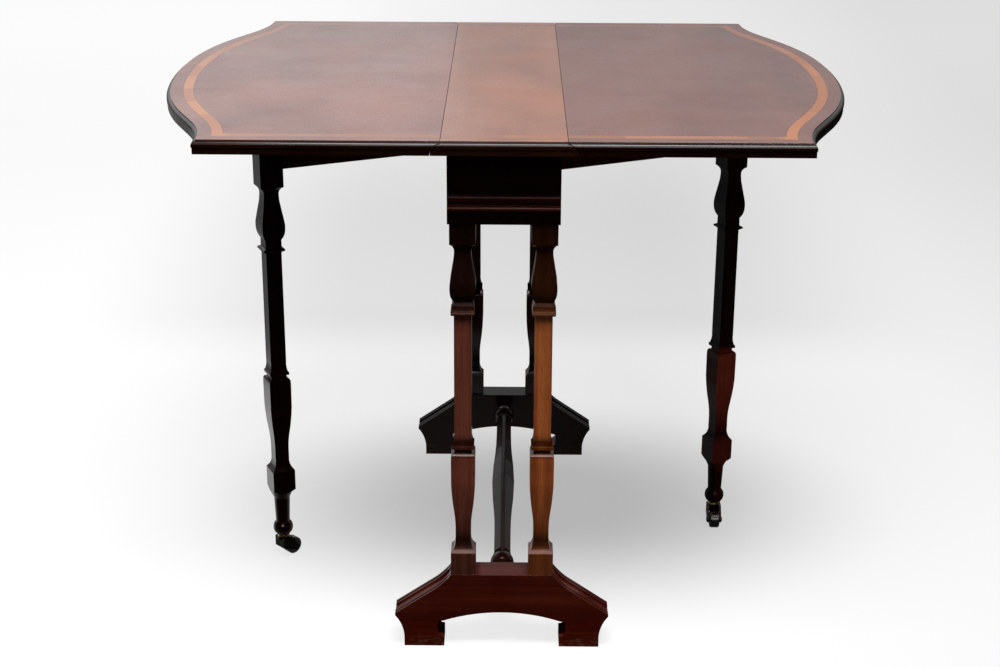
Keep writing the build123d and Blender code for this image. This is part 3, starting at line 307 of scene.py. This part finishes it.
def grain_place(tree, place, grain, seed):
    """Coordinates with the third one along the grain, shifted so that no two boards match."""
    along = Vector(grain).normalized()
    side = along.orthogonal().normalized()
    other = along.cross(side)
    parts = {}
    for index, direction in enumerate((side, other, along)):
        parts[index] = vector(tree, "DOT_PRODUCT", place, tuple(direction))
    turned = made(tree, "ShaderNodeCombineXYZ", parts).outputs["Vector"]
    return vector(tree, "ADD", turned, seed)


# Materials

def wood(name, grain, seed, tones, **finish):
    """Polished wood of a close grain: ribbon figure, fibres, open pores, mottle and smudges.

    The finish overrides WOOD_FINISH. Its shade changes the colour by place. Its worn gives the shares of
    the polish and of the sheen that are left, with None for a polish that is whole.
    """
    look = {**WOOD_FINISH, **finish}
    material, tree, shader = new_material(name)
    place = own_place(tree)
    turned = grain_place(tree, place, grain, seed)
    waves, ribbon, fibre, mottle, pores = (
        layer(tree, turned, kind) for kind in (WAVES, RIBBON, FIBRE, MOTTLE, PORES)
    )
    pore = span(tree, pores, *PORE_BAND, smooth=True)
    lines = look["lines"]
    figure = calc(tree, "MULTIPLY", ribbon, RIBBON_SHARE * lines)
    figure = calc(tree, "MULTIPLY_ADD", waves, WAVES_SHARE - RIBBON_SHARE * lines, figure)
    figure = calc(tree, "MULTIPLY_ADD", fibre, FIBRE_SHARE * lines, figure)
    figure = calc(tree, "MULTIPLY_ADD", mottle, MOTTLE_SHARE - FIBRE_SHARE * lines, figure)
    dark, middle, _ = tones
    colour = ramp(tree, figure, tuple(zip(FIGURE_STOPS, tones)))
    colour = blended(tree, calc(tree, "MULTIPLY", pore, look["pores"]), colour, dark)
    if look["clouds"] is not None:
        cloud = layer(tree, vector(tree, "ADD", place, seed), CLOUDS)
        colour = blended(tree, span(tree, cloud, *CLOUD_BAND, smooth=True), colour, look["clouds"])
    if look["shade"] is not None:
        colour = look["shade"](tree, place, colour)
    shader.inputs["Base Color"].default_value = middle
    put(shader.inputs["Base Color"], colour)
    rough = span(tree, layer(tree, place, SMUDGES), *NOISE_RANGE, *look["roughness"])
    put(shader.inputs["Roughness"], calc(tree, "MULTIPLY_ADD", pore, PORE_ROUGHNESS, rough))
    shader.inputs["Specular IOR Level"].default_value = look["specular"]
    shader.inputs["Coat Weight"].default_value = look["coat"]
    shader.inputs["Coat IOR"].default_value = look["coat_ior"]
    shader.inputs["Coat Roughness"].default_value = look["coat_roughness"]
    if look["worn"] is not None:
        polish, sheen = look["worn"](tree, place)
        if polish is not None:
            put(shader.inputs["Coat Weight"], calc(tree, "MULTIPLY", polish, look["coat"]))
        put(shader.inputs["Specular IOR Level"], calc(tree, "MULTIPLY", sheen, look["specular"]))
    height = calc(tree, "MULTIPLY_ADD", pore, -1.0, calc(tree, "MULTIPLY", fibre, FIBRE_RELIEF))
    edges = eased_edges(tree, look["edge"])
    put(shader.inputs["Coat Normal"], edges)
    put(shader.inputs["Normal"], bump(tree, height, look["relief"], 0.5, edges))
    return material


def edge_shade(tree, place, colour):
    """Paints shade on the moulded edge of the top, darker than its upper face."""
    upper = span(tree, axes(tree, place)["Z"], *UPPER_FACE, smooth=True)
    under = blended(tree, 1.0, colour, grey(EDGE_SHADE_SHARE), "MULTIPLY")
    return blended(tree, upper, under, colour)


def height_shade(levels, highlight_edges=()):
    """Paints shade by height: levels are heights, each with its tone as a share of the colour.

    Highlight edges are heights at which a highlight is painted along an edge, each with a half width and a
    strength.
    """
    def shade(tree, place, colour):
        height = axes(tree, place)["Z"]
        stops = [(level / TOP_Z, grey(tone)) for level, tone in levels]
        shares = ramp(tree, calc(tree, "MULTIPLY", height, 1.0 / TOP_Z), stops)
        colour = blended(tree, 1.0, colour, shares, "MULTIPLY")
        # Painted highlights along edges
        for level, half, strength in highlight_edges:
            away = calc(tree, "ABSOLUTE", calc(tree, "SUBTRACT", height, level))
            colour = blended(tree, span(tree, away, 0.5 * half, half, strength, 0.0), colour, PAINTED_HIGHLIGHT)
        return colour
    return shade


def dark_face_shade(levels, direction):
    """Painted shade by height, and painted shade on the face that looks in a direction of the piece's own."""
    by_height = height_shade(levels)

    def shade(tree, place, colour):
        colour = by_height(tree, place, colour)
        facing = made(tree, "ShaderNodeTexCoord", {}).outputs["Normal"]
        share = span(tree, vector(tree, "DOT_PRODUCT", facing, direction), *DARK_FACE, smooth=True)
        shares = made(tree, "ShaderNodeCombineXYZ", {0: share, 1: share, 2: share}).outputs[0]
        return blended(tree, 1.0, colour, shares, "MULTIPLY")
    return shade


def foot_shade(tree, place, colour):
    """Scuffs and floor dirt along the bottom of the feet."""
    low = span(tree, axes(tree, place)["Z"], *SCUFF_HEIGHT, smooth=True)
    scuff = product(tree, low, span(tree, layer(tree, place, SCUFFS), *SCUFF_BAND))
    return blended(tree, scuff, colour, SCUFF_TONE)


def lip_wear(tree, place):
    """Polish rubbed off the lip below the shaft of a post."""
    height = axes(tree, place)["Z"]
    bottom, top = LIP_BAND
    below = span(tree, height, bottom, bottom + LIP_FADE)
    above = span(tree, height, top - LIP_FADE, top)
    left = calc(tree, "SUBTRACT", 1.0, calc(tree, "SUBTRACT", below, above))
    return left, left


def foot_wear(tree, place):
    """No polish left low on the feet, inside the notches of the pads."""
    left = span(tree, axes(tree, place)["Z"], *FOOT_POLISH_HEIGHT, smooth=True)
    return left, left


def arris_wear(tree, place):
    """Polish rubbed dull along the planed top arris of the stretcher."""
    left = span(tree, calc(tree, "ABSOLUTE", axes(tree, place)["X"]), *ARRIS_RUB, smooth=True)
    return left, left


def edge_wear(tree, place):
    """Keeps the polish of the top's moulded edge, with less sheen under it than on the upper face."""
    return None, span(tree, axes(tree, place)["Z"], *UPPER_FACE, EDGE_SHEEN, 1.0, smooth=True)


def mahogany(name, grain, seed, share, tones=RED_TONES, **finish):
    """Wood whose tones are darkened or brightened by a share; the shares paint light and shade on copies of
    one wood.
    """
    scaled = tuple(rgb(*(channel * share for channel in tone[:3])) for tone in tones)
    return wood(name, grain, seed, scaled, **finish)


def top_board(name, seed, tones, share, clouds):
    return mahogany(
        name, ALONG, seed, share, tones, shade=edge_shade, worn=edge_wear, clouds=clouds, **TOP_FINISH,
    )


def banding_material():
    """Cross-banded satinwood: short pieces with the grain across the band, golden to orange."""
    material, tree, shader = new_material("banding")
    parts = axes(tree, own_place(tree))
    side = span(tree, calc(tree, "ABSOLUTE", parts["X"]), *BAND_SIDE_X)
    turn = calc(tree, "ARCTAN2", parts["Y"], parts["X"])
    along = between(tree, side, parts["X"], calc(tree, "MULTIPLY", turn, BAND_METRES_PER_RADIAN))
    run = made(tree, "ShaderNodeCombineXYZ", {0: along, 1: side}).outputs["Vector"]
    fibre = layer(tree, run, BAND_FIBRE)
    streak = layer(tree, run, BAND_STREAK)
    pieces = calc(tree, "FLOOR", calc(tree, "MULTIPLY", along, BAND_PIECES_PER_METRE))
    piece = made(tree, "ShaderNodeTexWhiteNoise", {"W": pieces}, noise_dimensions="1D").outputs["Value"]
    figure = calc(tree, "MULTIPLY", fibre, BAND_FIBRE_SHARE)
    figure = calc(tree, "MULTIPLY_ADD", streak, BAND_STREAK_SHARE, figure)
    figure = calc(tree, "MULTIPLY_ADD", piece, BAND_PIECE_SHARE, figure)
    far = span(tree, calc(tree, "MULTIPLY_ADD", streak, BAND_STREAK_SHIFT, parts["Y"]), *BAND_FAR_Y)
    on_side = ramp(tree, figure, tuple(zip(BAND_STOPS, BAND_SIDE_TONES)))
    on_side = blended(tree, far, on_side, BAND_SIDE_FAR)
    on_end = ramp(tree, figure, tuple(zip(BAND_STOPS, BAND_END_TONES)))
    on_end = blended(tree, far, on_end, BAND_END_FAR)
    put(shader.inputs["Base Color"], blended(tree, side, on_end, on_side))
    put(shader.inputs["Roughness"], span(tree, streak, *NOISE_RANGE, 0.30, 0.40))
    shader.inputs["Coat Weight"].default_value = 0.55
    shader.inputs["Coat Roughness"].default_value = 0.22
    put(shader.inputs["Normal"], bump(tree, fibre, 0.00005, 0.4))
    return material


def metal(name, dull, bright, roughness, relief, spots):
    """Old metal: bright where it is rubbed, dull in patches, with fine scratches."""
    material, tree, shader = new_material(name)
    place = own_place(tree)
    patches = layer(tree, place, ((spots, spots, spots), 4.0, 0.6, 0.0))
    mask = span(tree, patches, 0.38, 0.62, smooth=True)
    put(shader.inputs["Base Color"], blended(tree, mask, dull, bright))
    shader.inputs["Metallic"].default_value = 1.0
    smooth, rough = roughness
    put(shader.inputs["Roughness"], span(tree, patches, *NOISE_RANGE, rough, smooth))
    scratch = layer(tree, place, SCRATCHES)
    put(shader.inputs["Normal"], bump(tree, scratch, relief, 0.5, eased_edges(tree, 0.0003)))
    return material


def wheel_material():
    """Dark hard wheel of the castors, scuffed on its tread."""
    material, tree, shader = new_material("wheel")
    patches = layer(tree, own_place(tree), TREAD_SCUFFS)
    put(shader.inputs["Base Color"], ramp(tree, patches, tuple(zip(WHEEL_STOPS, WHEEL_TONES))))
    put(shader.inputs["Roughness"], span(tree, patches, *NOISE_RANGE, 0.18, 0.40))
    put(shader.inputs["Normal"], bump(tree, patches, 0.00015, 0.6, eased_edges(tree, 0.0006)))
    return material


pine = wood("pine", ALONG, (3.1, 1.7, 0.4), PINE_TONES, coat=0.0, roughness=(0.6, 0.75))
banding = banding_material()
brass = metal("brass", rgb(0.30, 0.17, 0.045), rgb(0.78, 0.53, 0.19), (0.22, 0.48), 0.00005, 260.0)
iron = metal("iron", rgb(0.006, 0.005, 0.004), rgb(0.020, 0.016, 0.013), (0.16, 0.38), 0.00008, 330.0)
steel = metal("screws", rgb(0.06, 0.05, 0.045), rgb(0.22, 0.20, 0.18), (0.35, 0.6), 0.00008, 500.0)
wheel = wheel_material()

# Low shares paint shade on pieces in shade: back frieze, back foot, stretcher, left gate leg, rails, hangers
# and leaf stops
dress = {
    "centre_board": top_board(
        "centre_wood", (0.37, 1.91, 4.2), CENTRE_TONES, 0.95, rgb(0.31, 0.098, 0.042),
    ),
    "leaf_left": top_board("leaf_left_wood", (2.63, 0.45, 1.3), TOP_TONES, 0.92, rgb(0.215, 0.057, 0.032)),
    "leaf_right": top_board("leaf_right_wood", (5.21, 3.37, 8.8), TOP_TONES, 0.80, rgb(0.150, 0.042, 0.026)),
    "centre_banding": banding,
    "leaf_banding_left": banding,
    "leaf_banding_right": banding,
    "glue_blocks": pine,
    "frieze_front": mahogany(
        "frieze_front_wood", ACROSS, (7.7, 2.2, 0.9), 3.0, shade=height_shade(FRIEZE_LEVELS), coat=0.4,
    ),
    "frieze_back": mahogany("frieze_back_wood", ACROSS, (1.4, 6.1, 3.3), 0.15),
    "foot_front": mahogany(
        "foot_front_wood", ACROSS, (3.9, 8.3, 2.6), 0.95, FOOT_TONES, shade=foot_shade, coat=0.6,
        worn=foot_wear,
    ),
    "foot_back": mahogany(
        "foot_back_wood", ACROSS, (6.6, 0.8, 5.5), 0.12, shade=foot_shade, coat=0.35, coat_roughness=0.12,
        relief=0.00004,
    ),
    "stretcher": mahogany("stretcher_wood", ALONG, (4.4, 7.9, 1.1), 0.25, worn=arris_wear),
    "gate_leg_left": mahogany(
        "gate_leg_left_wood", UP, (2.7, 5.9, 4.0), 0.2, shade=height_shade(LEFT_LEG_LEVELS), coat=0.5,
        coat_ior=1.5,
    ),
    # Painted shade on the right gate leg: by height, and on the face that looks away from the light
    "gate_leg_right": mahogany(
        "gate_leg_right_wood", UP, (8.0, 5.9, 4.0), 4.4,
        shade=dark_face_shade(RIGHT_LEG_LEVELS, GATE_GRAIN["left"]), coat=0.08,
    ),
}
# The shares paint light and shade: the front right post is lighter than the front left, and the back posts
# are darker
posts = (
    ("front_left", (0.7, 9.1, 0.0), 2.4, POST_TONES),
    ("front_right", (2.0, 6.8, 3.7), 3.2, WARM_TONES),
    ("back_left", (3.3, 4.5, 7.4), 0.5, POST_TONES),
    ("back_right", (4.6, 2.2, 11.1), 0.5, WARM_TONES),
)
for name, seed, share, tones in posts:
    dress[f"post_{name}"] = mahogany(
        f"post_{name}_wood", UP, seed, share, tones, shade=height_shade(POST_LEVELS, POST_HIGHLIGHTS),
        worn=lip_wear,
    )
for side, step in (("left", 0.0), ("right", 5.3)):
    dress[f"side_rail_{side}"] = mahogany(
        f"side_rail_{side}_wood", ALONG, (step + 0.2, 4.1, 2.0), 0.5, **INSIDE_FINISH,
    )
    dress[f"gate_hanger_{side}"] = mahogany(
        f"hanger_{side}_wood", ALONG, (step + 1.9, 0.6, 7.0), 0.5, **INSIDE_FINISH,
    )
    dress[f"gate_rail_{side}"] = mahogany(
        f"gate_rail_{side}_wood", GATE_GRAIN[side], (step + 8.2, 3.5, 1.0), 0.35,
    )
    dress[f"leaf_stop_{side}"] = mahogany(
        f"leaf_stop_{side}_wood", ALONG, (step + 6.3, 2.9, 6.0), 0.6, **INSIDE_FINISH,
    )

# Metal pieces and wheels, by a part of their names; the first that fits is taken
FITTINGS = (
    ("screws", steel), ("hinge", iron), ("gate_pin", iron), ("castor_wheel", wheel), ("castor_cup", brass),
    ("castor", iron),
)


def material_for(name):
    if name in dress:
        return dress[name]
    for key, material in FITTINGS:
        if key in name:
            return material
    raise SystemExit(f"no material for {name}")


for name, node in nodes.items():
    node.data.materials.clear()
    node.data.materials.append(material_for(name))


# Camera

def place_camera():
    data = bpy.data.cameras.new("camera")
    camera = bpy.data.objects.new("camera", data)
    scene.collection.objects.link(camera)
    data.sensor_fit = "HORIZONTAL"
    data.sensor_width = SENSOR_WIDTH
    data.lens = FOCAL_PIXELS / IMAGE_WIDTH * SENSOR_WIDTH
    level = math.cos(CAMERA_PITCH)
    forward = Vector((math.sin(CAMERA_YAW) * level, math.cos(CAMERA_YAW) * level, -math.sin(CAMERA_PITCH)))
    flat_right = Vector((math.cos(CAMERA_YAW), -math.sin(CAMERA_YAW), 0.0))
    flat_up = flat_right.cross(forward)
    right = math.cos(CAMERA_ROLL) * flat_right + math.sin(CAMERA_ROLL) * flat_up
    up = -math.sin(CAMERA_ROLL) * flat_right + math.cos(CAMERA_ROLL) * flat_up
    turn = Matrix((right, up, -forward)).transposed()
    camera.matrix_world = Matrix.Translation(CAMERA_PLACE) @ turn.to_4x4()
    scene.camera = camera


place_camera()


# Light

def panel(name, place, aim, size, power):
    data = bpy.data.lights.new(name, "AREA")
    data.shape = "RECTANGLE"
    data.size, data.size_y = size
    data.energy = power
    lamp = bpy.data.objects.new(name, data)
    scene.collection.objects.link(lamp)
    lamp.location = place
    lamp.rotation_euler = (Vector(aim) - Vector(place)).to_track_quat("-Z", "Y").to_euler()
    lamp.visible_camera = False


panel("key_light", place=(0.15, -1.0, 2.75), aim=(0.0, -0.1, 0.4), size=(1.5, 0.9), power=80.0)
panel("back_light", place=(-1.3, 2.7, 1.7), aim=(0.0, 0.0, 0.7), size=(2.6, 1.4), power=4.0)


def set_world():
    """White for the camera, a dim even room that lights the object, and a bright backdrop for reflections."""
    world = bpy.data.worlds.new("studio")
    scene.world = world
    world.use_nodes = True
    tree = world.node_tree
    tree.nodes.clear()
    ray = made(tree, "ShaderNodeLightPath", {}).outputs
    direction = made(tree, "ShaderNodeTexCoord", {}).outputs["Generated"]
    parts = axes(tree, direction)
    backdrop = product(
        tree,
        span(tree, parts["Y"], *GLOSS_BY_Y, smooth=True),
        span(tree, parts["X"], *GLOSS_BY_X),
        span(tree, parts["Z"], *GLOSS_UPPER_Z),
        span(tree, parts["Z"], *GLOSS_LOWER_Z, smooth=True),
    )
    towards_window = vector(tree, "DOT_PRODUCT", direction, WINDOW_DIRECTION)
    window = span(tree, towards_window, *WINDOW_EDGE, smooth=True)
    reflected = calc(tree, "ADD", backdrop, window)
    shine = calc(tree, "MAXIMUM", ray["Is Glossy Ray"], ray["Is Transmission Ray"])
    plain = between(tree, shine, ROOM_LIGHT, reflected)
    seen = between(tree, ray["Is Camera Ray"], plain, BACKDROP_SEEN)
    light = made(tree, "ShaderNodeBackground", {"Color": grey(1.0), "Strength": seen})
    made(tree, "ShaderNodeOutputWorld", {"Surface": light.outputs[0]})


set_world()


# Floor

def floor_glow(tree, place, parts):
    """Painted light and shade that the camera sees on the floor: a painted shadow as a darker pool under the
    table, and a dimmer middle behind it.
    """
    offset = vector(tree, "MULTIPLY", vector(tree, "SUBTRACT", place, POOL_CENTRE), POOL_STRETCH)
    # Painted shadow of the table: a darker pool in the glow
    pool = span(tree, vector(tree, "LENGTH", offset), *POOL, smooth=True)
    middle = span(tree, calc(tree, "ABSOLUTE", parts["X"]), *MIDDLE_BY_X, smooth=True)
    behind = product(
        tree,
        span(tree, parts["Y"], *MIDDLE_NEAR_Y, smooth=True),
        span(tree, parts["Y"], *MIDDLE_FAR_Y, smooth=True),
    )
    return product(
        tree, pool, between(tree, behind, 1.0, middle), span(tree, parts["X"], *GLOW_BY_X),
        span(tree, parts["Y"], *GLOW_FAR_Y, smooth=True),
    )


def floor_shine(tree, parts):
    """Painted reflection: a glow that only glossy rays see, a patch behind the front feet, brightest at the
    left.
    """
    return product(
        tree,
        span(tree, parts["X"], *SHINE_LEFT_X, smooth=True),
        span(tree, parts["X"], *SHINE_RIGHT_X, smooth=True),
        span(tree, parts["Y"], *SHINE_NEAR_Y, smooth=True),
        span(tree, parts["Y"], *SHINE_FAR_Y, smooth=True),
    )


def make_floor():
    corners = [(x * FLOOR_HALF, y * FLOOR_HALF, 0) for x, y in ((-1, -1), (1, -1), (1, 1), (-1, 1))]
    mesh = bpy.data.meshes.new("floor")
    mesh.from_pydata(corners, [], [(0, 1, 2, 3)])
    floor = bpy.data.objects.new("floor", mesh)
    scene.collection.objects.link(floor)
    material, tree = new_tree("floor_paper")
    ray = made(tree, "ShaderNodeLightPath", {}).outputs
    place = own_place(tree)
    parts = axes(tree, place)
    shown = made(tree, "ShaderNodeBsdfDiffuse", {"Color": FLOOR_SEEN})
    level = floor_glow(tree, place, parts)
    glow = made(tree, "ShaderNodeEmission", {"Color": grey(1.0), "Strength": level})
    seen = made(tree, "ShaderNodeAddShader", {0: shown.outputs[0], 1: glow.outputs[0]})
    shine = made(tree, "ShaderNodeEmission", {"Strength": floor_shine(tree, parts)})
    bounce = made(tree, "ShaderNodeBsdfDiffuse", {"Color": FLOOR_BOUNCE})
    shares = {0: ray["Is Glossy Ray"], 1: bounce.outputs[0], 2: shine.outputs[0]}
    other = made(tree, "ShaderNodeMixShader", shares)
    shares = {0: ray["Is Camera Ray"], 1: other.outputs[0], 2: seen.outputs[0]}
    mixed = made(tree, "ShaderNodeMixShader", shares)
    made(tree, "ShaderNodeOutputMaterial", {"Surface": mixed.outputs[0]})
    mesh.materials.append(material)


make_floor()

scene.view_settings.view_transform = "Standard"
